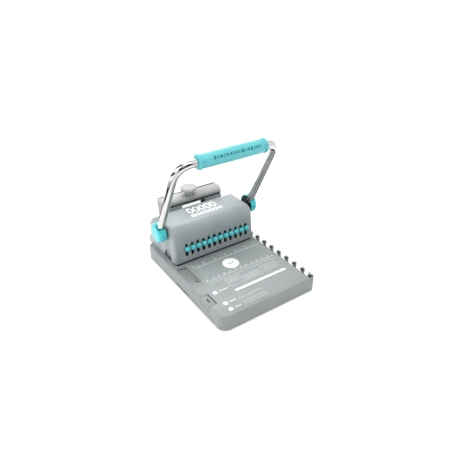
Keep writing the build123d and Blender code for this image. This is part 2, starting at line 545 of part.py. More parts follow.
# Each cover is a cup over its hub, with a notch where the arm comes out. A ring inside it rests on the hub,
# between the screw's head and the arm.
CORNER_R = 7.0
INNER_R = CORNER_R - COVER_WALL
PAD_RING = (8.3, 9.6)
NOTCH_W, NOTCH_START, NOTCH_CORNER = 2 * TUBE_R + 1.2, 15.8, 3.0
CORNER_X, CORNER_S = COVER_OUT - 0.2 - CORNER_R, COVER_R - CORNER_R
DIAGONAL = math.sqrt(0.5)
for name, side in (("left", -1), ("right", 1)):
    with BuildPart() as pivot_cover:
        with BuildSketch(Plane(origin=(0,) + COVER_AT, x_dir=(side, 0, 0), z_dir=(0, -side, 0))):
            with BuildLine():
                Polyline((COVER_OUT, 4.0), (COVER_OUT, 0), (COVER_OUT - 1.8, 0),
                         (COVER_OUT - 1.8, PAD_RING[0]), (HUB_OUT, PAD_RING[0]), (HUB_OUT, PAD_RING[1]),
                         (CORNER_X + INNER_R, PAD_RING[1]), (CORNER_X + INNER_R, CORNER_S))
                ThreePointArc((CORNER_X + INNER_R, CORNER_S),
                              (CORNER_X + INNER_R * DIAGONAL, CORNER_S + INNER_R * DIAGONAL),
                              (CORNER_X, CORNER_S + INNER_R))
                Polyline((CORNER_X, CORNER_S + INNER_R), (COVER_X, CORNER_S + INNER_R), (COVER_X, COVER_R),
                         (CORNER_X, COVER_R))
                ThreePointArc((CORNER_X, COVER_R),
                              (CORNER_X + CORNER_R * DIAGONAL, CORNER_S + CORNER_R * DIAGONAL),
                              (CORNER_X + CORNER_R, CORNER_S))
                Line((CORNER_X + CORNER_R, CORNER_S), (COVER_OUT, 4.0))
            make_face()
        revolve(axis=Axis((0,) + COVER_AT, (1, 0, 0)))
        notch_x = min(side * (HUB_IN - PAST), side * (COVER_OUT + PAST))
        with BuildSketch(Plane(origin=(notch_x,) + COVER_AT, x_dir=ARM_DIR, z_dir=(1, 0, 0))):
            with Locations((NOTCH_START + NOTCH_W / 2, 0)):
                RectangleRounded(NOTCH_W, NOTCH_W, NOTCH_CORNER)
        extrude(amount=COVER_OUT - HUB_IN + 2 * PAST, mode=Mode.SUBTRACT)
    pivot_cover.part.label = f"pivot_cover_{name}"
    export_step(pivot_cover.part, f"parts/pivot_cover_{name}.step")

with BuildPart() as handle_tube:
    with BuildLine(HANDLE_PLANE) as loop:
        FilletPolyline((-ARM_X, TUBE_START), (-ARM_X, ARM_LEN), (ARM_X, ARM_LEN), (ARM_X, TUBE_START),
                       radius=BEND_R)
    with BuildSketch(along_arm(-ARM_X, TUBE_START)):
        Circle(TUBE_R)
        Circle(TUBE_BORE, mode=Mode.SUBTRACT)
    sweep(path=loop.line)
handle_tube.part.label = "handle_tube"
export_step(handle_tube.part, "parts/handle_tube.step")

GRIP_R, FLANGE_R, GROOVE_R = 12.2, 13.6, 11.6
GRIP_AT = (PIVOT_Y + ARM_LEN * ARM_DIR[1], PIVOT_Z + ARM_LEN * ARM_DIR[2])
with BuildPart() as grip_sleeve:
    with BuildSketch(Plane(origin=(0,) + GRIP_AT, x_dir=(1, 0, 0), z_dir=(0, -1, 0))):
        with BuildLine():
            Polyline((GRIP[0], GRIP_R), (GRIP[0], TUBE_R), (GRIP[1], TUBE_R), (GRIP[1], GRIP_R))
            for end, inward in ((GRIP[1], -1), (GRIP[0], 1)):
                ThreePointArc((end, GRIP_R), (end + 2.2 * inward, FLANGE_R), (end + 4.4 * inward, GRIP_R))
                Polyline((end + 4.4 * inward, GRIP_R), (end + 5.2 * inward, GROOVE_R),
                         (end + 6.2 * inward, GROOVE_R), (end + 7.5 * inward, GRIP_R))
            ThreePointArc((GRIP[1] - 7.5, GRIP_R), ((GRIP[0] + GRIP[1]) / 2, GRIP_R + 0.5),
                          (GRIP[0] + 7.5, GRIP_R))
        make_face()
    revolve(axis=Axis((0,) + GRIP_AT, (1, 0, 0)))
grip_sleeve.part.label = "grip_sleeve"
export_step(grip_sleeve.part, "parts/grip_sleeve.step")

# ---- Wire closer --------------------------------------------------------------------------------------
CLOSER_Y = HOUSE_REAR + 0.2
CHEEK_T = 7.0
with BuildPart() as closer_frame:
    for x in (HOUSE_L, HOUSE_R - CHEEK_T):
        with BuildSketch(at_x(x)):
            with BuildLine():
                Polyline((CLOSER_Y, DECK_Z), (142, DECK_Z), (142, 44), (JAW_Y, 54), (JAW_Y, 84),
                         (CLOSER_Y + 3, 104.5), (CLOSER_Y, 104.5), close=True)
            make_face()
        extrude(amount=CHEEK_T)
    block(HOUSE_L, HOUSE_R, CLOSER_Y, 142, DECK_Z, 38)
    block(HOUSE_L, HOUSE_R, CLOSER_Y, CLOSER_Y + 3, DECK_Z, 96)
    block(HOUSE_L, HOUSE_R, CLOSER_Y, STRIP_Y + 1, 93, 96)
    block(HOUSE_L + 17, HOUSE_R - 17, CLOSER_Y, JAW_Y, SHELF_Z0, SHELF_Z1)
    block(HOUSE_L + 17, HOUSE_R - 17, JAW_Y - 1.6, JAW_Y, ANVIL_Z + 1, SHELF_Z1)
    block(BAR_L + 0.5, BAR_R - 0.5, STRIP_Y, STRIP_Y + 2.5, SHELF_Z1, STRIP_TOP)
    block(17.6, 28.6, STRIP_Y - 1, STRIP_Y + 3, 97.4, STRIP_TOP + 1, Mode.SUBTRACT)
    for side in (-1, 1):
        x = MID + side * ARM_PLATE_DX
        block(x - 3, x + 3, CLOSER_Y - 1, CLOSER_Y + 4, 44, 93, Mode.SUBTRACT)
    with Locations((KNOB_X, KNOB_Y)):
        rod(SIZING_R + FIT, SIZING_LOW - 4, 90, Mode.SUBTRACT)
    with Locations(*[(x, POST_REAR_Y) for x in POST_XS]):
        rod(POST_R, SHELF_Z0 + 1, 90, Mode.SUBTRACT)
    with Locations(*[(x, POST_FRONT_Y) for x in POST_XS]):
        rod(POST_R, POST_LOW, SHELF_Z0 + 1.5, Mode.SUBTRACT)
closer_frame.part.label = "closer_frame"
export_step(closer_frame.part, "parts/closer_frame.step")

with BuildPart() as closer_posts:
    with Locations(*[(x, POST_REAR_Y) for x in POST_XS]):
        rod(POST_R, SHELF_Z0 + 1, 118)
    with Locations(*[(x, POST_FRONT_Y) for x in POST_XS]):
        rod(POST_R, POST_LOW, SHELF_Z0 + 1.5)
closer_posts.part.label = "closer_posts"
export_step(closer_posts.part, "parts/closer_posts.step")

with BuildPart() as scale_card:
    block(-26.5, 17.0, STRIP_Y - 0.5, STRIP_Y, 98.2, 103.6)
scale_card.part.label = "scale_card"
export_step(scale_card.part, "parts/scale_card.step")

# The carriage carries the anvil; the handle's levers lift it by the slots in its two arms.
SLOT_PLAY = 0.38
with BuildPart() as anvil_carriage:
    block(MID - CARRIAGE_HALF, MID + CARRIAGE_HALF, JAW_Y + 0.6, 145.0, ANVIL_Z - 8, ANVIL_Z)
    block(MID - CARRIAGE_HALF, MID + CARRIAGE_HALF, 107.5, 117.5, ANVIL_Z - 8, ANVIL_Z)
    block(MID - 70, MID + 70, 139.0, 140.5, ANVIL_Z, ANVIL_Z + 1.5)
    for side in (-1, 1):
        x = MID + side * ARM_PLATE_DX
        with BuildSketch(at_x(x - 2)):
            with BuildLine():
                Polyline((78.5, 72.3), (92, 72.3), (98, 60), (107.5, 48), (145, 48), (145, 56), (118, 56),
                         (112, 73), (100, 73), (95.2, 78), (95.2, 84.6), (78.5, 84.6), close=True)
            make_face()
            with BuildLine():
                Polyline((81.6, ROLLER[1] - ROLLER_R - SLOT_PLAY), (92.1, ROLLER[1] - ROLLER_R - SLOT_PLAY),
                         (92.1, ROLLER[1] + ROLLER_R + SLOT_PLAY), (81.6, ROLLER[1] + ROLLER_R + SLOT_PLAY),
                         close=True)
            make_face(mode=Mode.SUBTRACT)
        extrude(amount=4)
    with Locations(*[(x, POST_FRONT_Y) for x in POST_XS]):
        rod(POST_R + FIT, 40, 60, Mode.SUBTRACT)
anvil_carriage.part.label = "anvil_carriage"
export_step(anvil_carriage.part, "parts/anvil_carriage.step")

with BuildPart() as press_bar:
    with BuildSketch(at_x(BAR_L)):
        with BuildLine():
            Polyline((142.0, PRESS_Z), (WEB_FRONT, PRESS_Z), (WEB_FRONT, BAR_LOW), (121.0, BAR_LOW))
            ThreePointArc((121.0, BAR_LOW), (BAR_FRONT, 112.5), (122.2, 118.0))
            ThreePointArc((122.2, 118.0), (126.6, 120.8), (132.0, BAR_TOP))
            Polyline((132.0, BAR_TOP), (BAR_REAR - 1.8, BAR_TOP), (BAR_REAR - 1.8, 108.0), (142.0, 105.0),
                     (142.0, PRESS_Z))
        make_face()
    extrude(amount=BAR_R - BAR_L)
    block(BAR_L - 1, BAR_R + 1, 134.5, 138.5, PRESS_Z - 1, PRESS_Z + 1.5, Mode.SUBTRACT)
    with Locations(*[(x, POST_REAR_Y) for x in POST_XS]):
        rod(POST_R + FIT, PRESS_Z - 1, 118.6, Mode.SUBTRACT)
    with Locations((KNOB_X, KNOB_Y)):
        rod(SIZING_R + GAP, PRESS_Z - PAST, BAR_TOP + PAST, Mode.SUBTRACT)
press_bar.part.label = "press_bar"
export_step(press_bar.part, "parts/press_bar.step")

with BuildPart() as bar_backing:
    block(BAR_L + 2, BAR_R - 1, BAR_REAR - 1.8, BAR_REAR, 108.5, BAR_TOP + 0.8)
    block(BAR_L + 1, BAR_R - 1, WEB_FRONT - 1.4, WEB_FRONT, STRIP_TOP + GAP, BAR_LOW)
bar_backing.part.label = "bar_backing"
export_step(bar_backing.part, "parts/bar_backing.step")

with BuildPart() as scale_pointer:
    block(18.6, 27.6, STRIP_Y + 0.5, WEB_FRONT, 98.4, 102.5)
scale_pointer.part.label = "scale_pointer"
export_step(scale_pointer.part, "parts/scale_pointer.step")

with BuildPart() as sizing_screw:
    with Locations((KNOB_X, KNOB_Y)):
        rod(SIZING_R, SIZING_LOW, SIZING_TOP)
sizing_screw.part.label = "sizing_screw"
export_step(sizing_screw.part, "parts/sizing_screw.step")

DIAL_R, DIAL_Z0, DIAL_TOP = 17.5, BAR_TOP + 0.5, 140.0
NECK_R, SCALLOPS = 7.5, 9
with BuildPart() as sizing_knob:
    with BuildSketch(Plane(origin=(KNOB_X, KNOB_Y, 0), x_dir=(1, 0, 0), z_dir=(0, -1, 0))):
        with BuildLine():
            Polyline((0, DIAL_Z0), (NECK_R, DIAL_Z0), (NECK_R + 1, DIAL_TOP - 11.5))
            ThreePointArc((NECK_R + 1, DIAL_TOP - 11.5), (13.2, DIAL_TOP - 9.6),
                          (DIAL_R - 0.8, DIAL_TOP - 7.0))
            Polyline((DIAL_R - 0.8, DIAL_TOP - 7.0), (DIAL_R, DIAL_TOP - 5.8), (DIAL_R, DIAL_TOP - 2.4))
            ThreePointArc((DIAL_R, DIAL_TOP - 2.4), (DIAL_R - 1.2, DIAL_TOP - 1.0),
                          (DIAL_R - 3.0, DIAL_TOP - 0.6))
            Polyline((DIAL_R - 3.0, DIAL_TOP - 0.6), (6, DIAL_TOP), (0, DIAL_TOP), (0, DIAL_Z0))
        make_face()
    revolve(axis=Axis((KNOB_X, KNOB_Y, 0), (0, 0, 1)))
    with Locations((KNOB_X, KNOB_Y)):
        rod(SIZING_R, DIAL_Z0 - PAST, SIZING_TOP, Mode.SUBTRACT)
        with PolarLocations(DIAL_R + 5.2, SCALLOPS):
            rod(6.4, DIAL_TOP - 12, DIAL_TOP + PAST, Mode.SUBTRACT)
sizing_knob.part.label = "sizing_knob"
export_step(sizing_knob.part, "parts/sizing_knob.step")
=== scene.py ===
"""Looks for the wire-binding punch: materials, soft edges, printing, lights and the camera.

Lengths are in metres. A number that is multiplied by MM is in millimetres.
"""
import json
import math

import bmesh
import bpy
from mathutils import Matrix, Vector


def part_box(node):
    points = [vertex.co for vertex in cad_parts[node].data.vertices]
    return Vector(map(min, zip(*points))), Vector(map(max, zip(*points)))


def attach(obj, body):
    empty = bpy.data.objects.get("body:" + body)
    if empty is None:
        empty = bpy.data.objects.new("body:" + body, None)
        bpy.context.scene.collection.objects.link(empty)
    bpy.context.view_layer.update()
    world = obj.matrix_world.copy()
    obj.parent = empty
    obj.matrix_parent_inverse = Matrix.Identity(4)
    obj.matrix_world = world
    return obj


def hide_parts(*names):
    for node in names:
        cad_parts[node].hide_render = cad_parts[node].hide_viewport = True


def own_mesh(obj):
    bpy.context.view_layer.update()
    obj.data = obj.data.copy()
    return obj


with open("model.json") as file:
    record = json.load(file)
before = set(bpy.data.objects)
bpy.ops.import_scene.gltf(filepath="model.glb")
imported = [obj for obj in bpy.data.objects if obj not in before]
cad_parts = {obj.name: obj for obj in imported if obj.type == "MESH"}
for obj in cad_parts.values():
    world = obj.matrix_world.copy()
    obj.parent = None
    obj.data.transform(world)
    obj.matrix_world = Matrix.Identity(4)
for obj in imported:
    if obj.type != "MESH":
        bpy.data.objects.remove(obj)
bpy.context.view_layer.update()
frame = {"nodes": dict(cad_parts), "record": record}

NODES = frame["nodes"]
RECORD = frame["record"]
BODY_OF = {node: body for body, nodes in RECORD["behaviour"]["bodies"].items() for node in nodes}
SLOT_OF = {row["node"]: row["material_slot"] for row in RECORD["subparts"]}
MM = 0.001


# ---- Materials -----------------------------------------------------------------------------------
CLOUD_SCALE, MOTTLE_SCALE, GLOSS_SCALE, WEAR_SCALE = 22, 35, 140, 300
EDGE_STARTS, EDGE_FULL = 0.515, 0.60        # pointiness, which is 0.5 on a flat stretch


class Shader:
    """A Principled material with helpers for the nodes that every finish here needs."""

    def __init__(self, name, **inputs):
        self.material = bpy.data.materials.new(name)
        self.material.use_nodes = True
        self.tree = self.material.node_tree
        self.shader = self.tree.nodes["Principled BSDF"]
        for key, value in inputs.items():
            self.shader.inputs[key.replace("_", " ")].default_value = value
        self.place = self.tree.nodes.new("ShaderNodeTexCoord").outputs["Object"]

    def stretch(self, x, y, z):
        """Object position scaled along each axis, which draws a noise out into streaks."""
        node = self.tree.nodes.new("ShaderNodeMapping")
        node.inputs["Scale"].default_value = (x, y, z)
        self.tree.links.new(self.place, node.inputs["Vector"])
        return node.outputs["Vector"]

    def noise(self, scale, detail=2.0, roughness=0.5, vector=None):
        node = self.tree.nodes.new("ShaderNodeTexNoise")
        node.inputs["Scale"].default_value = scale
        node.inputs["Detail"].default_value = detail
        node.inputs["Roughness"].default_value = roughness
        self.tree.links.new(vector or self.place, node.inputs["Vector"])
        return node.outputs["Fac"]

    def spread(self, value, low, high, start=0.3, end=0.7):
        """Map a value between start and end to the range from low to high."""
        node = self.tree.nodes.new("ShaderNodeMapRange")
        node.inputs["From Min"].default_value = start
        node.inputs["From Max"].default_value = end
        node.inputs["To Min"].default_value = low
        node.inputs["To Max"].default_value = high
        self.tree.links.new(value, node.inputs["Value"])
        return node.outputs["Result"]

    def mix(self, factor, a, b):
        """Colour that runs from a to b with the factor. Either may be a colour or a socket."""
        node = self.tree.nodes.new("ShaderNodeMix")
        node.data_type = "RGBA"
        for key, value in (("A", a), ("B", b)):
            if isinstance(value, tuple):
                node.inputs[key].default_value = (*value, 1)
            else:
                self.tree.links.new(value, node.inputs[key])
        self.tree.links.new(factor, node.inputs["Factor"])
        return node.outputs["Result"]

    def colour(self, socket):
        self.tree.links.new(socket, self.shader.inputs["Base Color"])

    def worn_edges(self):
        """Factor that is 0 on flat stretches and rises along outer edges, broken up by a noise."""
        pointiness = self.tree.nodes.new("ShaderNodeNewGeometry").outputs["Pointiness"]
        edge = self.spread(pointiness, 0, 1, EDGE_STARTS, EDGE_FULL)
        node = self.tree.nodes.new("ShaderNodeMath")
        node.operation = "MULTIPLY"
        self.tree.links.new(edge, node.inputs[0])
        self.tree.links.new(self.spread(self.noise(WEAR_SCALE, 4), 0.1, 0.7), node.inputs[1])
        return node.outputs["Value"]

    def rough(self, value, low, high):
        self.tree.links.new(self.spread(value, low, high), self.shader.inputs["Roughness"])

    def bump(self, height, distance, strength):
        node = self.tree.nodes.new("ShaderNodeBump")
        node.inputs["Distance"].default_value = distance
        node.inputs["Strength"].default_value = strength
        self.tree.links.new(height, node.inputs["Height"])
        self.tree.links.new(node.outputs["Normal"], self.shader.inputs["Normal"])


def shade(colour, factor):
    return tuple(min(1.0, c * factor) for c in colour)


def moulded(name, colour, rough, grain=2600, relief=0.000035, wear=1.25, **inputs):
    """Moulded plastic: spark-eroded grain, faint flow clouds, paler rubbed edges and uneven gloss."""
    m = Shader(name, **inputs)
    clouds = m.mix(m.spread(m.noise(CLOUD_SCALE, 3), 0, 1), shade(colour, 0.95), shade(colour, 1.05))
    m.colour(m.mix(m.worn_edges(), clouds, shade(colour, wear)))
    m.rough(m.noise(GLOSS_SCALE, 4), rough - 0.05, rough + 0.06)
    m.bump(m.noise(grain, 3, 0.6), relief, 0.55)
    return m.material


def metal(name, colour, rough, streak, relief=0.00001, **inputs):
    """Worked metal: its marks run along the axis where streak is small."""
    m = Shader(name, Metallic=1.0, **inputs)
    lines = m.noise(1.0, 4, 0.65, m.stretch(*streak))
    m.colour(m.mix(m.spread(m.noise(MOTTLE_SCALE, 3), 0, 1), shade(colour, 0.93), shade(colour, 1.05)))
    m.rough(lines, rough - 0.06, rough + 0.08)
    m.bump(lines, relief, 0.5)
    return m.material


HOUSE_GREY = (0.300, 0.335, 0.345)
BASE_GREY = (0.258, 0.281, 0.282)
BAR_GREY = (0.39, 0.395, 0.383)
TEAL = (0.040, 0.57, 0.60)
GRIP_TEAL = (0.110, 0.50, 0.54)
ALONG_X = (90, 2200, 2200)                  # grinding marks along the punch row
ALONG_Z = (1500, 1500, 300)
EVEN = (60, 60, 60)
CAST = (900, 900, 900)

MATERIALS = {
    "base_grey": moulded("base_plastic", BASE_GREY, 0.50),
    "head_grey": moulded("housing_plastic", HOUSE_GREY, 0.36, relief=0.00002),
    "bar_grey": moulded("bar_plastic", BAR_GREY, 0.42, relief=0.00002),
    "teal": moulded("teal_plastic", TEAL, 0.27, relief=0.000012, Coat_Weight=0.35, Coat_Roughness=0.12),
    "teal_grip": moulded("teal_soft_grip", GRIP_TEAL, 0.45, grain=1700, relief=0.00005),
    "chrome": metal("chrome_plate", (0.60, 0.595, 0.58), 0.10, EVEN, 0.000002),
    "steel": metal("ground_steel", (0.42, 0.43, 0.44), 0.36, ALONG_X),
    "dark_steel": metal("black_oxide_steel", (0.035, 0.036, 0.038), 0.42, ALONG_X),
    "alloy": metal("cast_alloy", (0.50, 0.50, 0.50), 0.47, CAST, 0.00003),
    "zinc": metal("zinc_plate", (0.58, 0.58, 0.54), 0.30, ALONG_Z),
    "black": moulded("black_plastic", (0.012, 0.012, 0.013), 0.42),
    "white": moulded("white_print", (0.84, 0.85, 0.84), 0.40, relief=0.00001),
    "rubber": moulded("black_rubber", (0.018, 0.018, 0.019), 0.70, grain=1400, relief=0.00006),
}
FAINT_INK = moulded("faint_ink", (0.62, 0.65, 0.65), 0.5, relief=0.000008)
GRIP_INK = moulded("grip_mark_ink", (0.02, 0.19, 0.22), 0.5, relief=0.00001)
DARK_INK = moulded("dark_ink", (0.05, 0.13, 0.13), 0.5, relief=0.000008)
# The scale card's white glows with its own emission. This is painted light that keeps the card bright
# where it sits in shade.
GLOWING_CARD_WHITE = moulded("card_white_glow", (0.92, 0.93, 0.92), 0.4, relief=0.000008, Emission_Strength=0.6)
GLOWING_CARD_WHITE.node_tree.nodes["Principled BSDF"].inputs["Emission Color"].default_value = (1, 1, 1, 1)
for node, slot in SLOT_OF.items():
    NODES[node].data.materials.clear()
    NODES[node].data.materials.append(GLOWING_CARD_WHITE if node == "scale_card" else MATERIALS[slot])


# ---- Making pieces -------------------------------------------------------------------------------
SHARP = math.radians(28)                    # edges that turn more than this stay sharp
FLAT = math.radians(1)                      # faces that turn less than this become one
WELD = 0.002 * MM                           # vertices nearer than this become one
BEVEL_SEGMENTS = 2


def add_object(name, mesh):
    ob = bpy.data.objects.new(name, mesh)
    bpy.context.scene.collection.objects.link(ob)
    return ob


def mesh_piece(name, vertices, faces, material, smooth=False):
    mesh = bpy.data.meshes.new(name)
    mesh.from_pydata(vertices, [], faces)
    mesh.materials.append(material)
    mesh.polygons.foreach_set("use_smooth", [smooth] * len(faces))
    mesh.update()
    return add_object(name, mesh)


def finish_piece(piece, body, slot, *nodes):
    """Make a piece ride on its body and hide the nodes that it stands for."""
    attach(piece, body)
    if nodes:
        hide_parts(*nodes)


def smooth_copy(node, name, join_flat):
    """Copy of a CAD node, its vertices welded and its faces shaded smooth, in the node's own finish."""
    bm = bmesh.new()
    bm.from_mesh(NODES[node].data)
    bmesh.ops.remove_doubles(bm, verts=bm.verts, dist=WELD)
    if join_flat:
        bmesh.ops.dissolve_limit(bm, angle_limit=FLAT, verts=bm.verts, edges=bm.edges)
    for face in bm.faces:
        face.smooth = True
    mesh = bpy.data.meshes.new(name)
    bm.to_mesh(mesh)
    bm.free()
    mesh.materials.append(MATERIALS[SLOT_OF[node]])
    return add_object(name, mesh)


def soften(node, width):
    """Put a copy in a node's place, with its hard edges rounded as a mould leaves them."""
    piece = smooth_copy(node, node + "_soft", join_flat=True)
    bevel = piece.modifiers.new("edges", "BEVEL")
    bevel.width = width
    bevel.segments = BEVEL_SEGMENTS
    bevel.angle_limit = SHARP
    bevel.harden_normals = True
    finish_piece(piece, BODY_OF[node], SLOT_OF[node], node)


def lathe(profile, centre, axis, turns):
    """Vertices and faces of a profile of (along, radius) turned about an axis. Radius 0 closes an end."""
    axis = Vector(axis).normalized()
    side = axis.orthogonal().normalized()
    up = axis.cross(side)
    vertices, rings = [], []
    for along, radius in profile:
        base = Vector(centre) + axis * along
        if radius == 0:
            rings.append([len(vertices)] * turns)
            vertices.append(base)
            continue
        rings.append(range(len(vertices), len(vertices) + turns))
        for k in range(turns):
            turn = 2 * math.pi * k / turns
            vertices.append(base + radius * (side * math.cos(turn) + up * math.sin(turn)))
    faces = []
    for low, high in zip(rings, rings[1:]):
        for k in range(turns):
            n = (k + 1) % turns
            corners = dict.fromkeys((low[k], low[n], high[n], high[k]))
            faces.append(tuple(corners))
    return vertices, faces


def join(*parts):
    """One vertex list and face list from several."""
    vertices, faces = [], []
    for more_vertices, more_faces in parts:
        start = len(vertices)
        vertices.extend(more_vertices)
        faces.extend(tuple(i + start for i in face) for face in more_faces)
    return vertices, faces


def sharp_angle(piece, angle=SHARP):
    """Keep edges that turn more than the angle sharp on a smooth piece."""
    bm = bmesh.new()
    bm.from_mesh(piece.data)
    bmesh.ops.recalc_face_normals(bm, faces=bm.faces)
    for edge in bm.edges:
        edge.smooth = len(edge.link_faces) == 2 and edge.calc_face_angle() < angle
    bm.to_mesh(piece.data)
    bm.free()


# ---- Softened plastic and castings ---------------------------------------------------------------
EDGE_WIDTHS = {
    "base_shell": 0.6, "base_bottom": 0.3, "housing": 0.5, "closer_frame": 0.7, "press_bar": 0.6,
    "bar_backing": 0.3, "pivot_cover_left": 0.35, "pivot_cover_right": 0.35, "drawer_latch": 0.3,
    "edge_guide": 0.6, "chip_drawer": 0.4, "wire_hooks": 0.5, "sizing_knob": 0.5, "anvil_carriage": 0.6,
    "punch_bar": 0.4, "punch_guide": 0.4, "deck_badge": 0.15, "paper_stop": 0.3, "die_plate": 0.2,
}
for node, width in EDGE_WIDTHS.items():
    soften(node, width * MM)


# ---- Return springs ------------------------------------------------------------------------------
def make_springs():
    """Springs that stand on the frame."""
    piece = smooth_copy("return_springs", "closing_springs", join_flat=False)
    sharp_angle(piece)
    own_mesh(piece)
    finish_piece(piece, "frame", "steel", "return_springs")


make_springs()


# ---- Handle --------------------------------------------------------------------------------------
TUBE_R = 7.25 * MM
TUBE_WALL = 1.4 * MM
TUBE_START = 14.3 * MM                      # from the pivot to where the tube leaves its hub
BEND_R = 30 * MM
BEND_STEPS = 20
TUBE_TURNS = 64
ARM_LEAN = math.radians(27.5)
ARM_LEN = 187 * MM
ARM_DIR = Vector((0, -math.sin(ARM_LEAN), math.cos(ARM_LEAN)))
ARM_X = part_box("handle_tube")[1].x - TUBE_R

GRIP_LOW, GRIP_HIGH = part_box("grip_sleeve")
GRIP_MID = (GRIP_LOW + GRIP_HIGH) / 2
GRIP_R = 12.3 * MM
GRIP_CROWN = 0.35 * MM                      # how much thicker the sleeve is in the middle
GRIP_TURNS = 96
GROOVE_R = 11.6 * MM
GROOVE_STARTS, GROOVE_RISES, GROOVE_ENDS = 0.5 * MM, 1.6 * MM, 2.4 * MM     # past the flange
FLANGE_R = (GRIP_HIGH.z - GRIP_LOW.z) / 2
FLANGE_W = 4.4 * MM
FLANGE_STEPS = 8
FLANGE_EDGE = math.radians(50)
PIVOT = Vector((0, GRIP_MID.y, GRIP_MID.z)) - ARM_LEN * ARM_DIR


def tube_path():
    """Points and directions along the bent tube, from the left hub over the grip to the right hub."""
    across = Vector((1, 0, 0))
    low, high = PIVOT + TUBE_START * ARM_DIR, PIVOT + ARM_LEN * ARM_DIR
    path = [(low - ARM_X * across, ARM_DIR)]
    for side in (-1, 1):
        middle = high - BEND_R * ARM_DIR + side * (ARM_X - BEND_R) * across
        for k in range(BEND_STEPS + 1):
            turn = math.pi / 2 * (k / BEND_STEPS if side < 0 else 1 - k / BEND_STEPS)
            out = math.cos(turn) * side * across + math.sin(turn) * ARM_DIR
            ahead = math.sin(turn) * across - side * math.cos(turn) * ARM_DIR
            path.append((middle + BEND_R * out, ahead))
    path.append((low + ARM_X * across, -ARM_DIR))
    return path


def make_tube():
    """Tube with open ends: its rings run along the outside and come back along the bore."""
    normal = Vector((1, 0, 0)).cross(ARM_DIR)
    vertices, faces = [], []
    path = tube_path()
    stations = [(*station, TUBE_R) for station in path]
    stations += [(*station, TUBE_R - TUBE_WALL) for station in reversed(path)]
    for place, ahead, radius in stations:
        side = normal.cross(ahead).normalized()
        for k in range(TUBE_TURNS):
            turn = 2 * math.pi * k / TUBE_TURNS
            vertices.append(place + radius * (side * math.cos(turn) + normal * math.sin(turn)))
    count = len(stations)
    for i in range(count):
        for k in range(TUBE_TURNS):
            a, b = i * TUBE_TURNS, (i + 1) % count * TUBE_TURNS
            n = (k + 1) % TUBE_TURNS
            faces.append((a + k, a + n, b + n, b + k))
    piece = mesh_piece("chrome_tube", vertices, faces, MATERIALS["chrome"], smooth=True)
    sharp_angle(piece)
    finish_piece(piece, "handle", "chrome", "handle_tube")


def make_grip():
    """Sleeve with a rounded flange and a groove at each end."""
    half = (GRIP_HIGH.x - GRIP_LOW.x) / 2
    end = [(0, TUBE_R), (0, GRIP_R - 0.5 * MM)]
    for k in range(FLANGE_STEPS + 1):
        turn = math.pi * k / FLANGE_STEPS
        rise = FLANGE_R - GRIP_R
        end.append((0.1 * MM + FLANGE_W * (1 - math.cos(turn)) / 2, GRIP_R + rise * math.sin(turn)))
    end += [(FLANGE_W + GROOVE_STARTS, GROOVE_R), (FLANGE_W + GROOVE_RISES, GROOVE_R),
            (FLANGE_W + GROOVE_ENDS, GRIP_R)]
    left = [(along - half, radius) for along, radius in end]
    right = [(half - along, radius) for along, radius in reversed(end)]
    middle = [(x * half * 0.8, GRIP_R + GRIP_CROWN * (1 - x * x)) for x in (-0.8, -0.4, 0, 0.4, 0.8)]
    profile = left + middle + right + [left[0]]
    turned = lathe(profile, GRIP_MID, (1, 0, 0), GRIP_TURNS)
    piece = mesh_piece("soft_grip", *turned, MATERIALS["teal_grip"], smooth=True)
    sharp_angle(piece, FLANGE_EDGE)
    finish_piece(piece, "handle", "teal_grip", "grip_sleeve")


MARKS = 16
MARK_START = -44.0
MARK_WIDTHS = [4.2, 2.2, 6.0, 2.2, 4.2, 4.2, 2.2]
MARK_GAP = 2.6
MARK_TALL, MARK_SHORT = 6.0, 4.6            # every third mark is a tall one
MARK_ROWS = 5                               # flat facets that follow the sleeve round
MARK_SUNK, MARK_PROUD = 0.2 * MM, 0.45 * MM
MARK_FACING = math.radians(28)              # how far above the level the row faces


def make_grip_marks():
    """Row of shallow plain bars along the grip's upper front."""
    out = Vector((0, -math.cos(MARK_FACING), math.sin(MARK_FACING)))
    up = Vector((0, math.sin(MARK_FACING), math.cos(MARK_FACING)))
    box_faces = [(3, 2, 1, 0), (4, 5, 6, 7), (0, 1, 5, 4), (1, 2, 6, 5), (2, 3, 7, 6), (3, 0, 4, 7)]
    parts = []
    x = MARK_START
    for k in range(MARKS):
        width = MARK_WIDTHS[k % len(MARK_WIDTHS)]
        tall = MARK_SHORT if k % 3 else MARK_TALL
        for row in range(MARK_ROWS):
            turn0 = (row / MARK_ROWS - 0.5) * tall * MM / GRIP_R
            turn1 = ((row + 1) / MARK_ROWS - 0.5) * tall * MM / GRIP_R
            corners = []
            for radius in (GRIP_R - MARK_SUNK, GRIP_R + MARK_PROUD):
                for turn, along in ((turn0, x), (turn0, x + width), (turn1, x + width), (turn1, x)):
                    place = Vector((GRIP_MID.x + along * MM, GRIP_MID.y, GRIP_MID.z))
                    corners.append(place + radius * (out * math.cos(turn) + up * math.sin(turn)))
            parts.append((corners, box_faces))
        x += width + MARK_GAP
    piece = mesh_piece("grip_marks", *join(*parts), GRIP_INK)
    finish_piece(piece, "handle", "teal_grip")


make_tube()
make_grip()
make_grip_marks()


# ---- Printing ------------------------------------------------------------------------------------
# Marks are thin closed prisms. Their outlines are in millimetres on the plane that they stand on.
INK = 0.12 * MM
INK_SUNK = 0.02                             # how far a prism reaches into its plane, in millimetres


def rect(x0, y0, x1, y1):
    return [(x0, y0), (x1, y0), (x1, y1), (x0, y1)]


def bars(x, width, pitch, count, y0, y1):
    """Row of equal bars, the first of them from x to x + width."""
    return [rect(x + pitch * k, y0, x + width + pitch * k, y1) for k in range(count)]


def oval(x, y, rx, ry=None, points=28):
    ry = ry or rx
    turns = [2 * math.pi * k / points for k in range(points)]
    return [(x + rx * math.cos(t), y + ry * math.sin(t)) for t in turns]


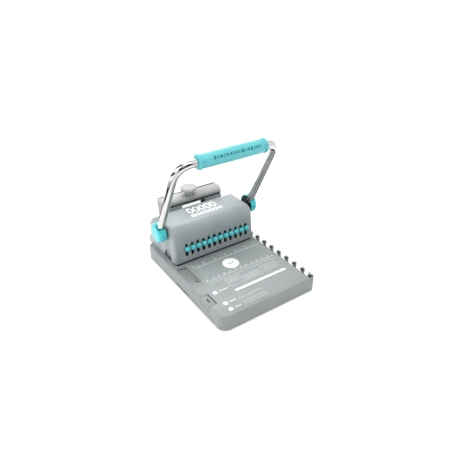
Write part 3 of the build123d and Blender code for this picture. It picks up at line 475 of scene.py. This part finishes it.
def stroke(points, width):
    """Outlines of a square-cornered line, one for each run. Runs meet edge to edge."""
    runs = []
    half = width / 2
    for (x0, y0), (x1, y1) in zip(points, points[1:]):
        if abs(x1 - x0) > abs(y1 - y0):
            shift = half if x1 > x0 else -half
            runs.append(rect(min(x0, x1) - shift, y0 - half, max(x0, x1) - shift, y0 + half))
        else:
            shift = half if y1 > y0 else -half
            runs.append(rect(x0 - half, min(y0, y1) - shift, x0 + half, max(y0, y1) - shift))
    return runs


def ring(x, y, rx, ry, width, points=36):
    """Outlines that tile an oval ring."""
    outer, inner = oval(x, y, rx, ry, points), oval(x, y, rx - width, ry - width, points)
    return [[outer[k], outer[(k + 1) % points], inner[(k + 1) % points], inner[k]]
            for k in range(points)]


def prisms(outlines, place, thick):
    """Vertices and faces of flat prisms that stand on a plane."""
    parts = []
    for outline in outlines:
        count = len(outline)
        low = [place @ Vector((x * MM, y * MM, -INK_SUNK * MM)) for x, y in outline]
        high = [place @ Vector((x * MM, y * MM, thick)) for x, y in outline]
        walls = [(k, (k + 1) % count, count + (k + 1) % count, count + k) for k in range(count)]
        bottom, top = tuple(range(count - 1, -1, -1)), tuple(range(count, 2 * count))
        parts.append((low + high, walls + [bottom, top]))
    return join(*parts)


def print_on(name, outlines, place, material, slot, body, thick=INK):
    piece = mesh_piece(name, *prisms(outlines, place, thick), material)
    finish_piece(piece, body, slot)


PITCH = 12.7
HALF_PITCH = PITCH / 2
PIN_XS = [(i - 5.5) * PITCH for i in range(12)]
BADGE_LOW, BADGE_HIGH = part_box("deck_badge")
deck = Matrix.Translation((0, 0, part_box("base_shell")[1].z))
paper = Matrix.Translation((0, 0, BADGE_LOW.z))
badge = Matrix.Translation((*((BADGE_LOW + BADGE_HIGH) / 2).xy, BADGE_HIGH.z))

# The deck: three round icons with a caption bar each, a broad white band, and blocks of small lines.
ICONS = [(-77.0, -80.0, 19), (-77.5, -113.8, 14), (-77.9, -130.8, 13)]      # x, y, caption length
ICON_R = 4.4
CAPTION_X = 8
BAND = rect(-43, -97.2, 73, -92.0)
TABLES = ((-42, -80, -12, -59), (-9, -82, 30, -66))
TABLE_LINE, TABLE_ROWS, TABLE_INSET, ROW_PITCH = 0.45, 3, 3, 4
NOTE_YS = (-116.0, -127.5, -133.5)
DECK_LINE = (-54.6, -54.1)                  # y from and to, in front of the paper table
bright = [BAND]
for x, y, length in ICONS:
    bright += [oval(x, y, ICON_R)]
    bright += [rect(x + CAPTION_X, y - 0.9, x + CAPTION_X + length, y + 0.4)]
faint = []
for y in NOTE_YS:
    faint += bars(-50, 4.5, 6.5, 8, y, y + 0.9)
for x0, y0, x1, y1 in TABLES:
    faint += stroke([(x0, y0), (x1, y0), (x1, y1), (x0, y1), (x0, y0)], TABLE_LINE)
    for k in range(TABLE_ROWS):
        y = y1 - 3.3 - ROW_PITCH * k
        faint += [rect(x0 + TABLE_INSET, y - 0.7, x1 - TABLE_INSET, y)]
faint += [rect(34, -63 - 5.5 * k, 72, -62.3 - 5.5 * k) for k in range(4)]
faint += [rect(-70, DECK_LINE[0], 82, DECK_LINE[1])]
faint += bars(-70, 0.4, HALF_PITCH, 24, DECK_LINE[1], -51.5)
print_on("deck_print_bright", bright, deck, MATERIALS["white"], "white", "frame")
print_on("deck_print_faint", faint, deck, FAINT_INK, "white", "frame")

# The paper table: a ruled line at its back with a tick at every pin, and one along its front edge.
REAR_LINE, FRONT_LINE = 4.2, -45.9
ruler = [rect(-72, 3.4, 84, REAR_LINE), rect(-76, -46.6, 86, FRONT_LINE)]
ruler += [rect(x - 0.45, REAR_LINE, x + 0.45, 9.5) for x in PIN_XS]
ruler += [rect(x - 0.4 + HALF_PITCH, REAR_LINE, x + 0.4 + HALF_PITCH, 6.8) for x in PIN_XS]
ruler += [rect(x - 1.9, 10.6, x + 1.9, 12.8) for x in PIN_XS[::2]]
ruler += bars(-72.4, 0.8, HALF_PITCH, 25, FRONT_LINE, -42.5)
ruler += bars(-70, 4, PITCH, 12, -41.4, -39.4)
print_on("paper_ruler", ruler, paper, FAINT_INK, "white", "frame")

icon_marks = [rect(x - 0.5, y - 1.9, x + 0.5, y + 0.7) for x, y, length in ICONS]
icon_marks += [oval(x, y + 1.9, 0.7) for x, y, length in ICONS]
over_ink = deck @ Matrix.Translation((0, 0, INK))
print_on("icon_marks", icon_marks, over_ink, DARK_INK, "base_grey", "frame")
print_on("badge_mark", bars(-7, 3.4, 5, 3, -1.0, 1.2), badge, DARK_INK, "base_grey", "frame")

# The housing's top carries a plain mark: a row of coils over a row of holes.
top = Matrix.Translation((0, 0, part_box("housing")[1].z))
coils = []
for k in range(5):
    coils += ring(-27 + 13.4 * k, 86.5, 6.4, 11.0, 3.0)
for k in range(7):
    coils += ring(-31 + 10.4 * k, 66, 4.7, 5.2, 2.4)
print_on("housing_mark", coils, top, MATERIALS["white"], "white", "frame")

# The housing's leaning front face, with the numbers 1 to 12 over its slots and an arrow at its middle.
FACE_FOOT = Vector((0, 27.0 * MM, 35.6 * MM))
FACE_UP = Vector((0, 4.5, 49.4)).normalized()
FACE_OUT = Vector((1, 0, 0)).cross(FACE_UP)
FACE_AXES = Matrix([(1, 0, 0), FACE_UP, FACE_OUT]).transposed().to_4x4()
face = Matrix.Translation(FACE_FOOT) @ FACE_AXES
NUMBER_UP = 41.2 * MM
NUMBER_SIZE = 3.4 * MM
NUMBER_STEPS = 3
ARROW = [(-2.4, 7.6), (2.4, 7.6), (0, 4.6)]


def make_numbers():
    """Figures 1 to 12, each turned from text to a mesh."""
    parts = []
    for number, x in enumerate(PIN_XS, start=1):
        text = bpy.data.curves.new("number", "FONT")
        text.body = str(number)
        text.size = NUMBER_SIZE
        text.align_x = "CENTER"
        text.extrude = INK / 2
        text.resolution_u = NUMBER_STEPS
        holder = add_object("number", text)
        bpy.context.view_layer.update()
        shown = holder.evaluated_get(bpy.context.evaluated_depsgraph_get())
        mesh = bpy.data.meshes.new_from_object(shown)
        place = face @ Matrix.Translation((x * MM, NUMBER_UP, INK / 2))
        parts.append(([place @ v.co for v in mesh.vertices], [tuple(p.vertices) for p in mesh.polygons]))
        bpy.data.objects.remove(holder)
    piece = mesh_piece("slot_numbers", *join(*parts), DARK_INK)
    finish_piece(piece, "frame", "black")


make_numbers()
print_on("centre_mark", [ARROW], face, DARK_INK, "base_grey", "frame")

# The closer's card has a scale, with a longer tick at each wire size.
CARD_AXES = Matrix([(1, 0, 0), (0, 0, 1), (0, -1, 0)]).transposed().to_4x4()
card = Matrix.Translation(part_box("scale_card")[0]) @ CARD_AXES
CARD_TICKS, CARD_PITCH = 16, 2.6
ticks = [rect(2 + CARD_PITCH * k, 0.8, 2.35 + CARD_PITCH * k, 2.4 + 0.9 * (k % 4 == 0))
         for k in range(CARD_TICKS)]
print_on("card_ticks", ticks, card, DARK_INK, "black", "frame", 0.08 * MM)


# ---- Small black strips --------------------------------------------------------------------------
# A black strip lies sunk along the rear top edge of the closing bar, from under the knob to near the
# right end, and shows as a dark line there.
BAR_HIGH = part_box("press_bar")[1]
BAR_RIGHT, BAR_REAR = BAR_HIGH.x / MM, BAR_HIGH.y / MM
DARK_LINE_DEPTH, DARK_LINE_THICK = 0.9 * MM, 0.85 * MM
dark_line = Matrix.Translation((0, 0, BAR_HIGH.z - DARK_LINE_DEPTH))
strip = rect(8, BAR_REAR - 1.9, BAR_RIGHT - 6, BAR_REAR - 0.2)
print_on("bar_dark_line", [strip], dark_line, MATERIALS["black"], "black", "press_bar", DARK_LINE_THICK)

# A black sheet in the latch's finger slot is painted shade: it darkens the opening where shade falls.
SLOT_SHADE_Z, SLOT_SHADE_THICK = 28.5 * MM, 0.6 * MM
slot_painted_shade = Matrix.Translation((0, 0, SLOT_SHADE_Z))
strip = rect(-99.5, -96.4, -96.9, -86.1)
print_on("latch_slot_painted_shade", [strip], slot_painted_shade, MATERIALS["black"], "black", "drawer_latch",
         SLOT_SHADE_THICK)


# ---- Feet ----------------------------------------------------------------------------------------
FOOT_R = 9.0 * MM
FOOT_TURNS = 48


def make_feet():
    """Moulded feet with a raised rim round a sunk middle."""
    low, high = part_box("rubber_feet")
    profile = [(high.z, 0), (high.z, FOOT_R), (0.7 * MM, FOOT_R), (0.2 * MM, FOOT_R - 0.3 * MM),
               (0, FOOT_R - 0.8 * MM), (0, FOOT_R - 2.4 * MM), (0.7 * MM, FOOT_R - 3.1 * MM),
               (0.7 * MM, 2.6 * MM), (0.3 * MM, 2.0 * MM), (0.3 * MM, 0)]
    parts = [lathe(profile, (x, y, 0), (0, 0, 1), FOOT_TURNS)
             for x in (low.x + FOOT_R, high.x - FOOT_R)
             for y in (low.y + FOOT_R, high.y - FOOT_R)]
    piece = mesh_piece("ringed_feet", *join(*parts), MATERIALS["rubber"], smooth=True)
    sharp_angle(piece)
    finish_piece(piece, "frame", "rubber", "rubber_feet")


make_feet()


# ---- Room ----------------------------------------------------------------------------------------
# The room is darker in front, which shades the front faces. In mirrors its walls have black bands
# between the bright ones, which gives the chrome its dark streaks. The camera itself sees white.
DARK_TOWARD, BANDS_TOWARD = (-0.30, -0.90, -0.05), (0.80, -0.35, 0.45)
BAND_COUNT = 9.0
world = bpy.data.worlds.new("studio")
world.use_nodes = True
tree = world.node_tree
background = tree.nodes["Background"]


def world_node(kind, **inputs):
    node = tree.nodes.new(kind)
    for key, value in inputs.items():
        node.inputs[key.replace("_", " ")].default_value = value
    return node


def toward(direction):
    """How nearly a ray from the object points in a direction, from -1 to 1."""
    node = world_node("ShaderNodeVectorMath")
    node.operation = "DOT_PRODUCT"
    node.inputs[1].default_value = Vector(direction).normalized()
    tree.links.new(tree.nodes.new("ShaderNodeTexCoord").outputs["Generated"], node.inputs[0])
    return node.outputs["Value"]


def ramp(value, start, end, low, high):
    node = world_node("ShaderNodeMapRange", From_Min=start, From_Max=end, To_Min=low, To_Max=high)
    node.interpolation_type = "SMOOTHSTEP"
    tree.links.new(value, node.inputs["Value"])
    return node.outputs["Result"]


def combine(operation, a, b=0.0):
    node = world_node("ShaderNodeMath")
    node.operation = operation
    for socket, value in zip(node.inputs, (a, b)):
        if isinstance(value, (int, float)):
            socket.default_value = value
        else:
            tree.links.new(value, socket)
    return node.outputs["Value"]


room = ramp(toward(DARK_TOWARD), 0.50, 0.90, 1.0, 0.05)
wave = combine("SINE", combine("MULTIPLY", toward(BANDS_TOWARD), BAND_COUNT))
bands = ramp(wave, -0.35, 0.25, 0.03, 1.25)
paths = tree.nodes.new("ShaderNodeLightPath").outputs
glossy = combine("MULTIPLY", paths["Is Glossy Ray"], combine("SUBTRACT", bands, 1.0))
level = combine("MULTIPLY", room, combine("ADD", glossy, 1.0))
seen = combine("MAXIMUM", level, paths["Is Camera Ray"])
tree.links.new(seen, background.inputs["Strength"])
background.inputs["Color"].default_value = (1, 1, 1, 1)
bpy.context.scene.world = world
bpy.context.scene.view_settings.view_transform = "Standard"


# ---- Camera, lights and floor --------------------------------------------------------------------
CAMERA_PLACE = (-0.40807, -0.60454, 0.53887)
CAMERA_DOWN, CAMERA_TURN = 31.15, -34.55    # degrees
LENS, SENSOR = 35.16, 36                    # millimetres
camera = add_object("camera", bpy.data.cameras.new("camera"))
camera.location = CAMERA_PLACE
camera.rotation_euler = (math.radians(90 - CAMERA_DOWN), 0, math.radians(CAMERA_TURN))
camera.data.lens = LENS
camera.data.sensor_width = SENSOR
bpy.context.scene.camera = camera

LIT_POINT = Vector((0, 0, 0.05))
SOFTBOXES = (
    # name, place, side length, watts
    ("key_softbox", (-1.0, 0.1, 1.0), 0.7, 4.5),
    ("back_softbox", (0.25, 1.0, 1.2), 1.0, 10),
    ("front_softbox", (-0.1, -0.55, 1.5), 0.8, 7),
)
for name, place, size, watts in SOFTBOXES:
    lamp = bpy.data.lights.new(name, "AREA")
    lamp.shape = "SQUARE"
    lamp.size = size
    lamp.energy = watts
    ob = add_object(name, lamp)
    ob.location = place
    ob.rotation_euler = (LIT_POINT - Vector(place)).to_track_quat("-Z", "Y").to_euler()


def floor_card(name, x0, x1, y0, y1, z, material):
    """Level rectangle that is part of the stage and not of the object."""
    corners = [(x0, y0, z), (x1, y0, z), (x1, y1, z), (x0, y1, z)]
    ob = mesh_piece(name, corners, [(0, 1, 2, 3)], material)
    return ob


FLOOR = 6.0
FLOOR_GLOW = 0.28
floor_paper = Shader("floor_paper", Roughness=0.9, Emission_Strength=FLOOR_GLOW)
floor_paper.shader.inputs["Emission Color"].default_value = (1, 1, 1, 1)
cloudy = floor_paper.spread(floor_paper.noise(3, 2), 0, 1)
floor_paper.colour(floor_paper.mix(cloudy, (0.80, 0.80, 0.80), (0.82, 0.82, 0.82)))
floor_card("floor", -FLOOR, FLOOR, -FLOOR, FLOOR, 0, floor_paper.material)

# Black cards just over the floor, which only mirrors see: each draws a dark line down the chrome.
FLAGS = (
    # name, x from and to, y from and to
    ("left_flag", -0.36, -0.29, -0.6, 0.5),
    ("rear_flag", -0.5, 0.6, 0.30, 0.42),
    ("right_flag", 0.13, 0.22, -0.5, 0.4),
)
FLAG_Z = 0.5 * MM
for name, x0, x1, y0, y1 in FLAGS:
    cloth = Shader("flag_cloth", Roughness=1.0)
    cloudy = cloth.spread(cloth.noise(8, 2), 0, 1)
    cloth.colour(cloth.mix(cloudy, (0.004, 0.004, 0.004), (0.008, 0.008, 0.008)))
    flag = floor_card(name, x0, x1, y0, y1, FLAG_Z, cloth.material)
    flag.visible_camera = False
    flag.visible_diffuse = False
    flag.visible_shadow = False
